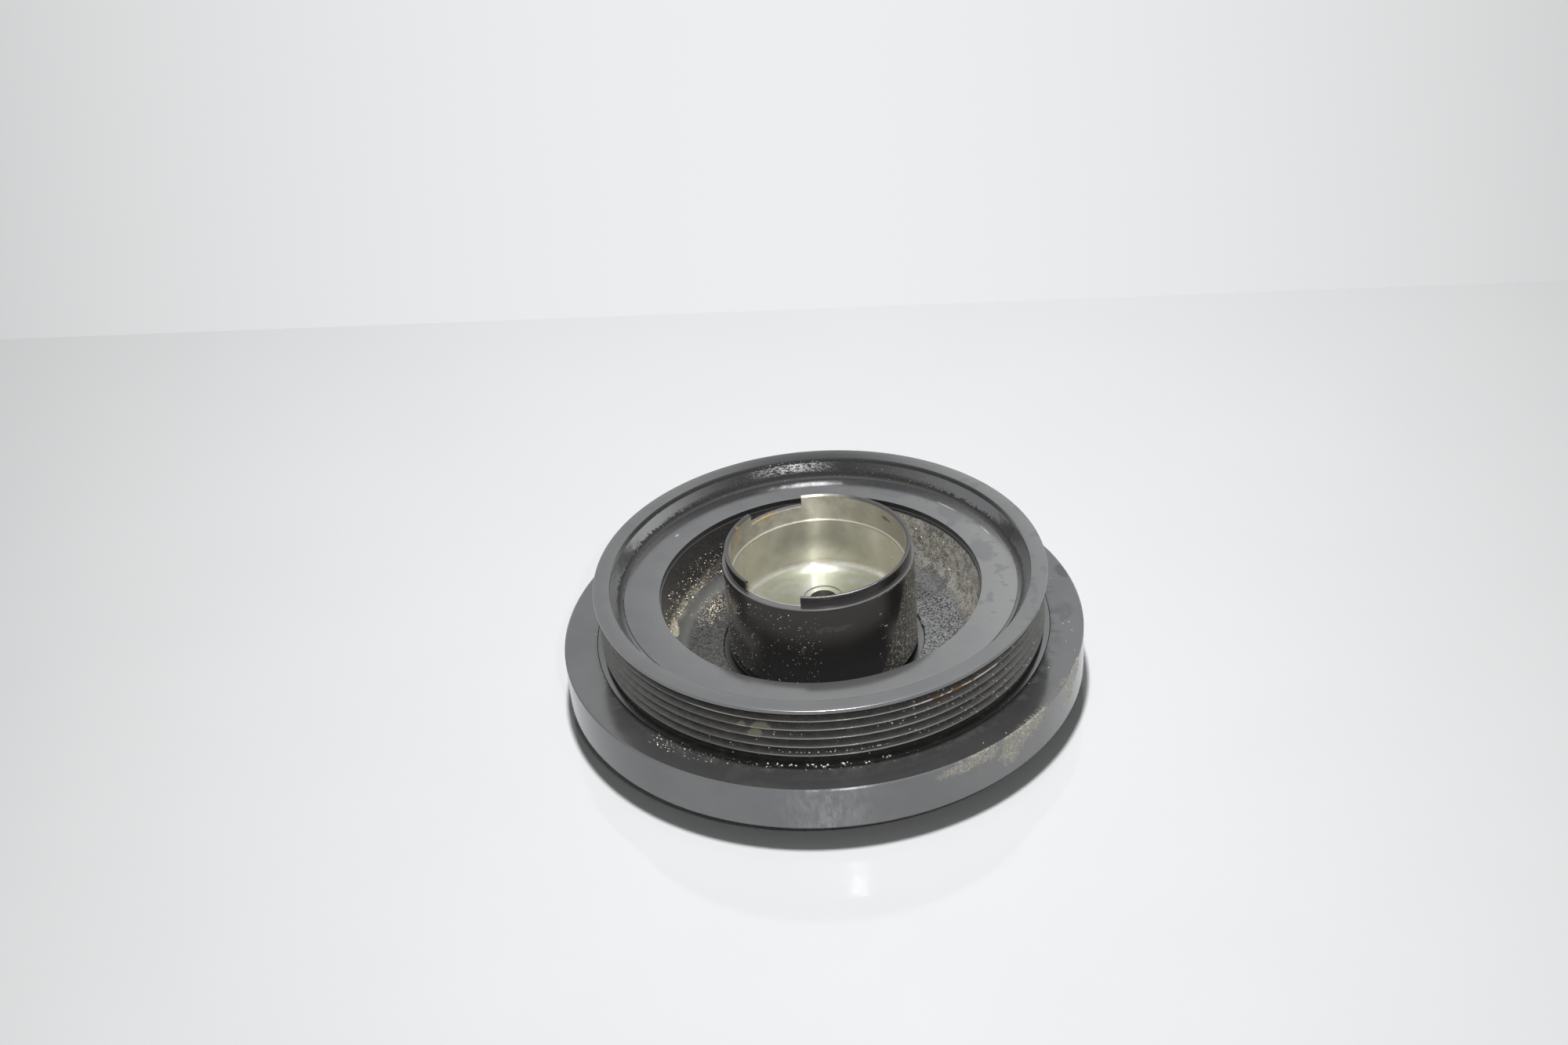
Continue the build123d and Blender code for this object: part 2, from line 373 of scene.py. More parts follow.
@dataclass(frozen=True)
class CastingCoat:
    """Thin black coat on the iron casting, with its cast skin, dust and rust.

    The coat is a dark, nearly metallic mirror, which takes its tone from the room.
    """

    name: str = "casting_coat"
    metal: float = 0.85
    rough: float = 0.18

    def rim_top(self, g: Graph) -> Socket:
        """Return 1 on the rim's top."""
        return g.up(RIM_Z - 0.3, RIM_Z - 0.1)

    def turned(self, g: Graph) -> None:
        """Lay the coat on the turned faces: the annulus, the rim and the flange."""
        cloud = g.noise(14, 5, 0.6)
        colour = g.mix(g.fade(cloud, 0.42, 0.7), COAT, (0.205, 0.206, 0.21))
        g.start(colour, self.metal, g.fade(cloud, 0.3, 0.7, self.rough, self.rough + 0.04))
        g.emboss(g.rings(0.35), 0.003)
        annulus = g.band(g.z, ANNULUS_Z - 0.3, ANNULUS_Z + 0.2)
        tops = g.either(annulus, self.rim_top(g))
        # Painted sheen: the tops are lighter towards the front and right, the annulus more so on
        # the right.
        g.over(PAINTED_SHEEN, 0.5, 0.3, tops, g.arc(-130, 60, 35), 0.15)
        g.over(PAINTED_SHEEN, 0.5, 0.3, annulus, g.arc(-38, 38, 30), 0.35)
        stains = g.either(
            g.both(g.fade(g.noise(5, 2, 0.4), 0.58, 0.66), g.arc(-30, 80, 12)),
            g.patches(
                ((49, 38.5, ANNULUS_Z), (3, 6, 2), 0.3, 3, 0.5),
                ((58, 14, ANNULUS_Z), (4, 7, 2), 0.3, 3, 0.5),
                ((28, 56, ANNULUS_Z), (3, 7, 2), 0.3, 3, 0.5),
            ),
        )
        g.over(BLOTCH, self.metal, 0.22, stains, tops, 0.4)
        scratches = g.patches(
            ((48, 43.5, ANNULUS_Z), (0.35, 4.5, 1), 0.4, 1),
            ((60.5, 26, ANNULUS_Z), (0.3, 3, 1), 0.5, 1),
            ((-50.5, 37, ANNULUS_Z), (0.5, 0.9, 1), 0.3, 1),
        )
        g.over((0.6, 0.6, 0.6), 0.5, 0.4, scratches, 0.7)
        scuffs = g.both(g.fade(g.noise(1.6, 5, 0.7), 0.62, 0.7), g.fade(g.noise(11), 0.5, 0.6))
        g.over((0.36, 0.36, 0.35), 0.6, 0.4, scuffs, tops, 0.35)

    def bowl(self, g: Graph) -> None:
        """Roughen the bowl, which is left as cast, and darken its lip."""
        bowl = g.both(g.out(55.95, 55.8), g.up(38.2, 38), g.up(15.6, 16))
        floor = g.both(bowl, g.up(19.5, 17))
        pebbles = g.noise(0.65, 2, 0.6)
        speckle = g.fade(pebbles, 0.38, 0.62)
        g.over(g.mix(speckle, (0.15, 0.144, 0.138), (0.25, 0.243, 0.236)), 0.7, 0.3, bowl)
        g.over(g.mix(speckle, (0.05, 0.05, 0.05), (0.25, 0.25, 0.245)), 0.65, 0.42, floor)
        g.over((0.05, 0.048, 0.044), 0.5, 0.45, floor, g.arc(125, 235, 12), 0.6)
        far_wall = g.both(bowl, g.up(18, 22), g.arc(64, 116, 10))
        g.over((0.5, 0.49, 0.47), 0.2, 0.6, far_wall, 0.2)
        g.over((0.4, 0.41, 0.42), 0.6, 0.4, floor, g.arc(-60, 30, 12), speckle, 0.5)
        g.emboss(pebbles, 0.12, bowl)
        # Painted shade: the short wall under the annulus's inner edge is darker.
        lip = g.both(g.band(g.radius, 55.7, 56.24), g.up(39.9, 39.7))
        g.over((0.14, 0.14, 0.14), 0.8, 0.3, lip)

    def slope(self, g: Graph) -> None:
        """Shade the rim's slope, which is rough behind, and darken its foot and top edge."""
        slope = g.both(g.band(g.radius, 69.3, 73.2, 0.15), g.up(39.2, 39.6))
        behind = g.both(slope, g.arc(62, 128, 22))
        tone = g.mix(g.arc(125, 235, 20), (0.18, 0.181, 0.185), (0.3, 0.301, 0.305))
        g.over(tone, 0.85, 0.13, slope)
        g.over((0.06, 0.057, 0.056), 0.8, 0.15, behind)
        g.over((0.05, 0.048, 0.048), 0.3, 0.6, behind, g.out(71.4, 71))
        rim = self.rim_top(g)
        g.over((0.06, 0.062, 0.065), 0.8, 0.2, rim, g.arc(66, 114, 22), 0.8)
        g.over((0.15, 0.151, 0.155), 0.85, 0.18, rim, g.arc(-130, -50, 20), 0.25)
        g.emboss(g.noise(0.75, 1, 0.5), 0.06, behind)
        # Painted highlight: bright flecks on the slope's far side, where the lamp by the lens
        # glints.
        along = g.join(g.radius, g.both(g.bearing(94), 0.35), g.z)
        glint_noise = g.fade(g.noise(0.45, 3, 0.75, at=along), 0.45, 0.57)
        glints = g.both(slope, glint_noise, g.band(g.radius, 71.2, 72.8, 0.4), g.arc(89, 103, 9))
        g.over((0.85, 0.85, 0.87), 0.4, 0.4, glints, 0.9)
        g.emboss(g.noise(0.65, 2, 0.6), 0.02, slope)
        # The slope's ragged foot is dark: dirt on the cast edge, and painted shade in the corner.
        wander = g.both(g.math("SUBTRACT", g.noise(1.1, 3, 0.7), 0.5), 2.6)
        ragged = g.math("ADD", g.radius, wander)
        foot = g.both(
            g.band(ragged, 68.9, 70.8, 0.1), g.band(g.radius, 68, 71.4, 0.2), g.up(39.2, 39.5)
        )
        g.over(GRIME_AND_SHADE, 0.2, 0.62, foot, g.arc(-5, 200, 20), 0.94)
        # Painted shadow: a dark line along the slope's top edge at the back, under the rim's edge.
        rim_shadow = g.both(g.band(g.radius, 72.7, 73.65, 0.1), g.up(44, 44.5), g.arc(20, 165, 15))
        g.over(GRIME_AND_SHADE, 0.2, 0.62, rim_shadow)

    def back(self, g: Graph) -> None:
        """Dull and roughen the back, which is left as cast."""
        back = g.either(
            g.both(g.out(70.1, 69.6), g.up(15.5, 14.5)),
            g.both(g.band(g.radius, 58, 70, 0.3), g.up(31, 30.5)),
        )
        tone = g.mix(g.noise(6, 5, 0.6), (0.05, 0.05, 0.05), (0.16, 0.15, 0.14))
        g.over(tone, 0.4, 0.5, back)
        g.emboss(g.noise(0.8, 3, 0.6), 0.15, back)

    def grooves(self, g: Graph) -> None:
        """Darken the belt grooves, and make their crests by turns bright, dirty and rusty."""
        rows = g.both(g.out(74.7, 74.9), g.band(g.z, 23.7, 44.6, 0.1))
        worn = g.fade(g.noise(3, 5, 0.7), 0.35, 0.65)
        g.over(g.mix(worn, (0.155, 0.151, 0.147), (0.2, 0.194, 0.188)), 0.5, 0.36, rows)
        # Painted shade: the top groove, under the rim's overhang, is darker.
        g.over(UNDER_RIM_SHADE, 0.5, 0.4, rows, g.up(41.6, 42.2), 0.75)
        crests = g.both(rows, g.out(77.55, 77.8))
        g.over((0.14, 0.138, 0.135), 0.85, 0.22, crests, 0.8)
        # Painted highlight: the front crests are smoother, so the lamp glints on them, and are also
        # painted brighter.
        g.over((0.34, 0.34, 0.335), 0.95, 0.12, crests, g.arc(-110, -60, 14), 0.8)
        first = g.both(crests, g.band(g.z, 40.2, 41.4, 0.1))
        g.over((0.45, 0.42, 0.35), 0.7, 0.35, first, g.arc(-125, -111, 5), 0.7)
        wear = g.noise(2.6, 2)
        g.over((0.72, 0.7, 0.66), 0.6, 0.35, first, g.arc(-70, -44, 1))
        g.over(RUST, 0, 0.7, first, g.arc(-70, -46, 1), g.fade(wear, 0.52, 0.55))
        g.emboss(g.noise(1.6, 2, 0.5), 0.015, rows)
        grime = g.both(
            rows, g.fade(g.noise(1.2, 4, 0.7), 0.56, 0.64), g.fade(g.noise(12), 0.44, 0.56)
        )
        g.over((0.36, 0.34, 0.27), 0, 0.8, grime, 0.45)
        drops = g.both(rows, g.arc(-75, -15, 6), g.specks(1.6, 0.42, 0.4))
        g.over((0.85, 0.82, 0.7), 0.2, 0.5, drops)

    def bowl_dust(self, g: Graph) -> None:
        """Lay the dust that has settled in the bowl: a band on the left, all over on the right."""
        dense = g.both(g.math("SUBTRACT", g.noise(3.5, 4, 0.7), 0.5), 0.6)
        grain = g.math("ADD", g.noise(0.5, 4, 0.8), dense)
        crumbs = g.fade(grain, 0.4, 0.6)
        hollow = g.both(g.out(55.9, 55.7), g.up(16.2, 16.4))
        left = g.both(hollow, g.arc(122, 186, 6))
        shelf = g.both(left, g.band(g.radius, 48.5, 52.4, 1))
        g.over(FILM, 0.35, 0.5, shelf, 0.9)
        # Painted shade: the recess round the cup's foot is darker on the left.
        seat = g.both(g.out(35.9, 35.5), g.band(g.z, 15, 16.9, 0.2), g.arc(100, 235, 10))
        g.over((0.05, 0.048, 0.045), 0.3, 0.6, seat, 0.85)
        turn = g.bearing(158)
        level = g.math("SUBTRACT", g.z, g.both(turn, turn, 0.0045))
        ledge = g.both(left, g.band(level, 19.9, 22.8, 1.3), g.fade(grain, 0.38, 0.58))
        g.over(g.mix(g.fade(turn, -22, 14), (0.36, 0.31, 0.23), CHALK), 0, 0.85, ledge, 0.9)
        thin = g.both(left, g.band(level, 20.5, 30, 3), g.fade(grain, 0.58, 0.66))
        g.over(SAND, 0, 0.85, thin, 0.8)
        heap = g.patch((-52.9, 5.6, 21.5), (4, 4.2, 2.4), 0.35, 1.5)
        g.over(g.mix(crumbs, SAND, (0.86, 0.82, 0.62)), 0, 0.85, heap, 0.9)
        spill = g.patch((-39.5, 22, 16.5), (4.5, 8.5, 2), 1.1, 1.6, 0.9)
        grains = g.fade(g.noise(0.6, 1), 0.55, 0.61)
        g.over(g.mix(g.noise(1.4), SAND, CHALK), 0, 0.85, spill, grains)
        # Painted light: a pale band on the bowl's front wall, hidden from view, which the cup's
        # outside reflects.
        front = g.both(hollow, g.arc(-165, -30, 10))
        g.over((0.75, 0.72, 0.7), 0.3, 0.6, front, g.up(22, 27))
        # Near-black on the bowl's bottom at the front, hidden from view, which the cup's outside
        # reflects.
        bottom = g.both(g.band(g.radius, 35.5, 54, 0.3), g.band(g.z, 15.8, 23, 1))
        g.over((0.025, 0.024, 0.023), 0, 0.9, bottom, g.arc(-150, -30, 10))
        right = g.both(hollow, g.arc(-4, 80, 8), g.up(37.4, 36.4))
        cover = g.both(right, g.up(16.9, 20), g.fade(g.noise(4, 4, 0.65), 0.3, 0.5, 0.5, 1))
        dusty = g.mix(crumbs, (0.32, 0.305, 0.265), (1, 0.97, 0.88))
        lower = g.mix(crumbs, (0.14, 0.135, 0.12), (0.48, 0.465, 0.42))
        g.over(g.mix(g.up(20, 27), lower, dusty), 0, 0.8, cover)
        dark = g.both(right, g.up(17.5, 20), g.fade(grain, 0.42, 0.34))
        g.over((0.1, 0.095, 0.09), 0.2, 0.6, dark, 0.75)
        rise = g.math("SUBTRACT", g.z, g.both(g.bearing(28), 0.21))
        away = g.math("ABSOLUTE", g.math("SUBTRACT", rise, 27.6))
        drift = g.both(right, g.fade(away, 3.8, 0.8), g.fade(g.noise(2.2, 4, 0.7), 0.4, 0.56))
        heaped = g.mix(g.up(20, 27), (0.6, 0.56, 0.45), (0.92, 0.87, 0.72))
        g.over(heaped, 0, 0.85, drift, g.fade(grain, 0.4, 0.52))
        clean = g.patch((39.5, 29, 18.2), (4.5, 8.5, 3.2), 0.3, 3)
        g.over(g.mix(crumbs, (0.1, 0.1, 0.105), (0.2, 0.2, 0.205)), 0.5, 0.4, clean, 0.75)

    def flange_dust(self, g: Graph) -> None:
        """Lay the dust on the flange and its smears in the grooves."""
        grain = g.noise(0.6, 3, 0.7)
        front = g.both(g.arc(-150, -40, 8), g.band(g.z, 22, 26, 1), g.out(75, 75.5))
        earth = g.mix(g.noise(3, 3, 0.6), (0.11, 0.107, 0.104), (0.2, 0.195, 0.19))
        g.over(earth, 0.6, 0.3, front, 0.8)
        drift = g.both(front, g.fade(grain, 0.5, 0.62), g.fade(g.noise(4), 0.46, 0.62))
        g.over(SAND, 0, 0.85, drift, 0.35)
        smears = g.patches(
            ((-28.8, -72.4, 37), (2.5, 1.6, 1.2), 0.2, 1.2),
            ((-22.5, -74, 37.2), (2.5, 3.4, 1.3), 0.2, 1.2),
            ((-24.5, -72.5, 34), (2.5, 2.6, 1), 0.2, 1.2),
            ((-33, -69, 33), (2.5, 2.4, 0.8), 0.25, 1.2),
        )
        g.over((0.55, 0.53, 0.42), 0.1, 0.7, smears, 0.9)

    def material(self) -> bpy.types.Material:
        """Return the finish of the casting."""
        g = Graph(self.name)
        self.turned(g)
        self.bowl(g)
        self.slope(g)
        self.back(g)
        self.grooves(g)
        self.bowl_dust(g)
        self.flange_dust(g)
        return g.done()


@dataclass(frozen=True)
class RingCoat:
    """The same coat on the inertia ring, with a slight orange peel, dust and stains."""

    name: str = "ring_coat"
    metal: float = 0.85

    def material(self) -> bpy.types.Material:
        """Return the finish of the inertia ring."""
        g = Graph(self.name)
        top = g.up(FLANGE_Z - 0.28, FLANGE_Z - 0.08)
        side = g.out(RING_R - 0.65, RING_R - 0.3)
        cloud = g.noise(16, 5, 0.6)
        # Painted highlight: lighter, rougher streaks on the wall's front, where the lamp by the
        # lens glints.
        highlight_streaks = g.noise(2.2, 4, 0.7, at=g.join(g.x, g.y, g.both(g.z, 0.4)))
        worn = g.both(g.fade(highlight_streaks, 0.36, 0.66), side, g.arc(-97, -87, 9))
        patchy = g.fade(g.noise(9, 2, 0.5), 0.35, 0.65, 0.13, 0.17)
        base = g.mix(g.fade(cloud, 0.35, 0.7), (0.208, 0.209, 0.211), (0.19, 0.191, 0.194))
        g.start(base, self.metal, patchy)
        g.over((0.36, 0.365, 0.37), self.metal, 0.5, worn, 0.8)
        # Painted shade: the wall is darker on its left side.
        g.over((0.15, 0.152, 0.155), self.metal, 0.15, side, g.arc(-185, -128, 12), 0.6)
        g.over((0.3, 0.29, 0.27), 0, 0.7, top, g.arc(-150, -45, 15), 0.1)
        g.emboss(g.noise(3.2, 1, 0.4), 0.012)
        grain = g.noise(0.6, 3, 0.7)
        near_pulley = g.both(top, g.out(86, 81), g.arc(-165, -10, 12))
        grime = g.mix(g.fade(grain, 0.4, 0.6), (0.09, 0.085, 0.08), (0.19, 0.18, 0.16))
        g.over(grime, 0.3, 0.4, near_pulley, g.fade(g.noise(5, 4, 0.6), 0.46, 0.62), 0.3)
        flecks = g.both(top, g.specks(2.6, 0.35, 0.12))
        g.over((0.6, 0.58, 0.52), 0.1, 0.6, flecks, 0.7)
        runs = g.noise(2.2, 3, 0.6, at=g.join(g.bearing(0), 0, g.both(g.radius, 0.2)))
        drips = g.both(top, g.arc(-32, 24, 8), g.out(85.5, 81.5), g.fade(runs, 0.5, 0.6))
        g.over((0.12, 0.125, 0.13), 0.8, 0.2, drips, 0.5)
        stain = g.patch((87, 21, FLANGE_Z), (2.6, 4.6, 2), 0.25, 3, 0.1)
        g.over((0.15, 0.16, 0.19), self.metal, 0.16, stain, 0.7)
        heart = g.patch((87, 21, FLANGE_Z), (1.9, 3.8, 2), 0.25, 3, 0.3)
        g.over((0.12, 0.125, 0.13), self.metal, 0.2, heart, 0.6)
        smudge = g.patch((84.5, -3, FLANGE_Z), (3.4, 5.5, 2), 0.5, 3, 0.3)
        g.over((0.14, 0.145, 0.155), self.metal, 0.2, smudge, 0.5)
        turn = g.bearing(-45)
        streaks = g.noise(0.7, 3, 0.7, at=g.join(turn, g.both(turn, 0.6), g.z))
        patches = g.patches(
            ((47, -78.4, 21.3), (4, 8.5, 2.6), 0.6, 2, 0.7),
            ((42.5, -80.9, 20.6), (4, 8, 2), 0.6, 2, 0.7),
            ((62.5, -66.7, 21), (4, 7.5, 4), 0.6, 2, 0.7),
            ((68.6, -60.4, 21.6), (4, 4.5, 3), 0.6, 2, 0.7),
            ((59, -69.8, 17), (4, 4.5, 4), 0.6, 2, 0.9),
            ((81.5, -41.4, 18.5), (4, 4, 5), 0.6, 2, 0.7),
            ((84.5, -34.9, 21), (4, 5, 3), 0.6, 2, 0.7),
        )
        powder = g.mix(g.fade(grain, 0.4, 0.6), (0.38, 0.36, 0.3), (0.78, 0.75, 0.63))
        veil = g.both(side, g.patch((64, -65.3, 19.5), (6, 32, 6.5), 0.35, 5, 0.9))
        g.over((0.4, 0.385, 0.33), 0, 0.7, veil, g.fade(streaks, 0.4, 0.62), 0.22)
        g.over(powder, 0, 0.85, side, patches, g.fade(streaks, 0.32, 0.56), 0.85)
        edge = g.both(top, g.arc(-46, -24, 4), g.out(88.8, 90.8), g.fade(streaks, 0.42, 0.58))
        g.over((0.36, 0.32, 0.23), 0, 0.8, edge, g.fade(cloud, 0.4, 0.6), 0.75)
        below = g.up(8.2, 7.4)
        g.over((0.09, 0.085, 0.08), 0.4, 0.55, below, 0.7)
        return g.done()


@dataclass(frozen=True)
class SleeveFinish:
    """Bright turned steel inside the cup, worn edges, and black coat outside it."""

    name: str = "sleeve_finish"
    steel: Colour = (0.86, 0.84, 0.775)
    worn: Colour = (0.18, 0.176, 0.18)

    def material(self) -> bpy.types.Material:
        """Return the finish of the hub sleeve."""
        g = Graph(self.name)
        cloud = g.noise(9, 4, 0.6)
        g.start(g.mix(cloud, (0.22, 0.215, 0.215), (0.26, 0.255, 0.255)), 0.85, 0.15)
        smear = g.patches(
            ((-7.4, -32.5, 35.5), (2, 0.8, 1.5), 0.4, 1),
            ((3.5, -33.1, 44.2), (2, 5.5, 1.3), 0.8, 2, 0.9),
        )
        g.over((0.4, 0.4, 0.41), 0.1, 0.6, smear, 0.35)
        # Dust on the cup's right side, with a painted reflection: its grey film ends on a slanted
        # line where a reflection's edge lies.
        reflection_slant = g.math("ADD", g.bearing(0), g.both(g.math("SUBTRACT", 45, g.z), 0.8))
        outside = g.out(CUP_R - 0.3, CUP_R - 0.1)
        powder = g.both(outside, g.fade(reflection_slant, -36, -32), g.arc(-60, 60, 7))
        g.over((0.22, 0.21, 0.185), 0.5, 0.45, powder, 0.8)
        g.over((0.85, 0.82, 0.72), 0.1, 0.6, powder, g.fade(g.noise(1.1, 3, 0.75), 0.5, 0.6), 0.8)
        g.over((0.95, 0.93, 0.86), 0.1, 0.6, powder, g.specks(1.5, 0.32, 0.35), 0.9)
        # Paler on the cup's outside towards the front-left.
        paler_front = g.both(outside, g.arc(-160, -60, 20), g.up(26, 44))
        g.over((0.5, 0.46, 0.42), 0, 0.7, paler_front, 0.12)
        # The lip's top is worn grey, less so at the back, where bright steel is left as a painted
        # highlight.
        lip_top = g.both(g.up(56.3, 56.5), g.math("SUBTRACT", 1, g.both(g.arc(66, 112, 10), 0.7)))
        tops = g.either(lip_top, g.both(g.band(g.z, 52.3, 53), g.out(31, 31.15)))
        dusty = g.both(g.band(g.z, 51.8, 53), g.out(32.2, 32.4), g.arc(-60, 20, 8))
        g.over((0.5, 0.48, 0.42), 0.1, 0.7, dusty, g.fade(g.noise(0.8, 3, 0.7), 0.42, 0.6), 0.8)
        inside = g.both(g.out(31.55, 31.3), g.up(20, 22))
        marks = g.rings(0.5)
        dull = g.noise(6, 4, 0.6)
        bright = g.mix(g.fade(dull, 0.35, 0.7), self.steel, (0.74, 0.71, 0.64))
        # Painted sheen: the cup's side walls are rougher and painted brighter.
        sheen_flanks = g.either(g.arc(-70, 30, 25), g.arc(150, 240, 25))
        g.over(bright, 0.82, g.fade(marks, 0.3, 0.7, 0.19, 0.22), inside)
        g.over((1, 0.975, 0.9), 0.95, 0.34, inside, sheen_flanks)
        g.emboss(marks, 0.002, inside)
        g.put(g.shader.inputs["Anisotropic"], g.both(inside, g.fade(g.z, 27.2, 28.5, 0.8, 0.96)))
        tangent = g.node("Tangent", direction_type="RADIAL", axis="Z")
        g.put(g.shader.inputs["Tangent"], tangent.outputs[0])
        g.shader.inputs["Anisotropic Rotation"].default_value = 0.25
        mouth = g.both(inside, g.up(46.8, 47.2))
        stained = g.arc(0, 60, 25)
        pale = g.mix(stained, (0.76, 0.73, 0.66), (0.6, 0.56, 0.49))
        g.over(g.mix(g.fade(dull, 0.35, 0.65), pale, (0.56, 0.53, 0.46)), 0.8, 0.34, mouth)
        # Painted shade: the mouth's step is dulled away from the back, so it shows bright only
        # there.
        away = g.fade(g.math("ABSOLUTE", g.bearing(98)), 15, 60)
        step_shade = g.both(inside, g.band(g.z, 46.2, 47.3, 0.1), away)
        g.over((0.5, 0.48, 0.42), 0.6, 0.4, step_shade, 0.8)
        g.over(g.mix(g.noise(1.5, 3, 0.6), self.worn, (0.24, 0.236, 0.24)), 0.8, 0.3, tops)
        g.over((0.13, 0.127, 0.127), 0.7, 0.35, lip_top, g.out(32.55, 32.4))
        foot = g.both(inside, g.up(28.5, 27.2))
        g.over(
            g.mix(g.fade(dull, 0.4, 0.6), (0.46, 0.46, 0.41), (0.4, 0.41, 0.31)), 0.75, 0.4, foot
        )
        spots = g.patches(
            ((-27.4, 13.8, 55.8), (2, 1, 1.2), 0.6, 1, 0.8),
            ((-28.2, 12.4, 53), (2, 0.7, 2), 0.6, 1, 0.8),
            ((-17.6, 25.4, 52.7), (0.7, 4.6, 0.7), 0.5, 1.2, 0.8),
        )
        g.over((0.72, 0.46, 0.14), 0.3, 0.5, spots, 0.7)
        brown = g.patch((24.8, 18.3, 53.1), (1.5, 2.2, 0.8), 0.6, 1)
        g.over((0.16, 0.09, 0.05), 0.1, 0.6, brown, 0.7)
        nose = g.both(g.up(15, 13.5), g.out(31.5, 30))
        g.over(
            g.mix(g.fade(cloud, 0.35, 0.65), (0.5, 0.49, 0.46), (0.36, 0.33, 0.28)), 1, 0.35, nose
        )
        return g.done()


@dataclass(frozen=True)
class RubberFinish:
    """Black bonded rubber with a dull skin."""

    name: str = "bonded_rubber"
    colour: Colour = (0.02, 0.02, 0.02)

    def material(self) -> bpy.types.Material:
        """Return the finish of the rubber ring."""
        g = Graph(self.name)
        g.start(g.mix(g.noise(2, 3), self.colour, (0.04, 0.038, 0.035)), 0, 0.75)
        # Pale top face in the gap under the flange: dust, and painted light that fills the gap's
        # shade.
        g.over((0.5, 0.48, 0.43), 0, 0.85, g.up(20, 20.6), 0.85)
        g.emboss(g.noise(0.6), 0.03)
        return g.done()


@dataclass(frozen=True)
class GrainFinish:
    """Pale mineral grit, some of it rusty."""

    name: str = "grit"

    def material(self) -> bpy.types.Material:
        """Return the finish of the grit."""
        g = Graph(self.name)
        tone = g.fade(g.noise(2.5, 2), 0.35, 0.65)
        g.start(g.mix(tone, (0.8, 0.72, 0.6), (0.97, 0.95, 0.92)), 0.65, 0.28)
        g.over((0.6, 0.4, 0.24), 0.2, 0.5, g.fade(g.noise(6, 1), 0.64, 0.68))
        bare = g.both(g.out(75, 75.5), g.arc(-115, -70, 3))
        g.over((0.99, 0.97, 0.97), 1, 0.1, bare)
        return g.done()


def on_stretch(edge: bmesh.types.BMEdge, start: Vector, end: Vector, loose: float = 1e-3) -> bool:
    """Return whether an edge lies on the straight stretch between two corners.

    Args:
        edge: The edge.
        start: The first corner.
        end: The second corner.
        loose: How far from the stretch still counts.

    Returns:
        Whether both of its ends are on the stretch.
    """
    along = (end - start).normalized()
    for vert in edge.verts:
        offset = vert.co - start
        reach = offset.dot(along)
        off_line = (offset - along * reach).length > loose
        if off_line or not -loose < reach < (end - start).length + loose:
            return False
    return True


def finished(mesh: bmesh.types.BMesh, name: str, sharp: float) -> bpy.types.Object:
    """Turn a finished bmesh into an object at the origin.

    Args:
        mesh: The bmesh, which is freed.
        name: The piece's name.
        sharp: The angle in degrees above which an edge is shaded sharp.

    Returns:
        The object, linked to the scene.
    """
    data = bpy.data.meshes.new(name)
    mesh.to_mesh(data)
    mesh.free()
    data.shade_smooth()
    data.set_sharp_from_angle(angle=math.radians(sharp))
    piece = bpy.data.objects.new(name, data)
    bpy.context.scene.collection.objects.link(piece)
    return piece


@dataclass(frozen=True)
class Corner:
    """Corner of a turned section.

    Attributes:
        radius: Its distance from the axis.
        height: Its level.
        reach: How far its rounding reaches along the sides, 0 for a sharp corner.
        spacing: The spacing of the points up to the next corner, 0 for none.
    """

    radius: float
    height: float
    reach: float = 0.0
    spacing: float = 0.0

    def place(self) -> Vector:
        """Return the corner as a point of the section."""
        return Vector((self.radius, 0, self.height))

    def segments(self) -> int:
        """Return how many segments its rounding has."""
        return 12 if self.reach > 5 else 5 if self.reach > 0.5 else 2


@dataclass(frozen=True)
class Dent:
    """Nick or pit in a turned face.

    Attributes:
        place: Where it is.
        size: Its radius.
        depth: Its depth, negative for a burr that stands out.
    """

    place: Place
    size: float
    depth: float


@dataclass(frozen=True)
class Skin:
    """Stretch of the shell that is left as cast.

    Attributes:
        radii: Its limits across.
        levels: Its limits up.
        depth: How far its lumps stand out.
        grain: The size of its lumps.
    """

    radii: tuple[float, float]
    levels: tuple[float, float]
    depth: float
    grain: float

    def holds(self, point: Vector) -> bool:
        """Return whether a point lies on it."""
        across = self.radii[0] < math.hypot(point.x, point.y) < self.radii[1]
        return across and self.levels[0] < point.z < self.levels[1]


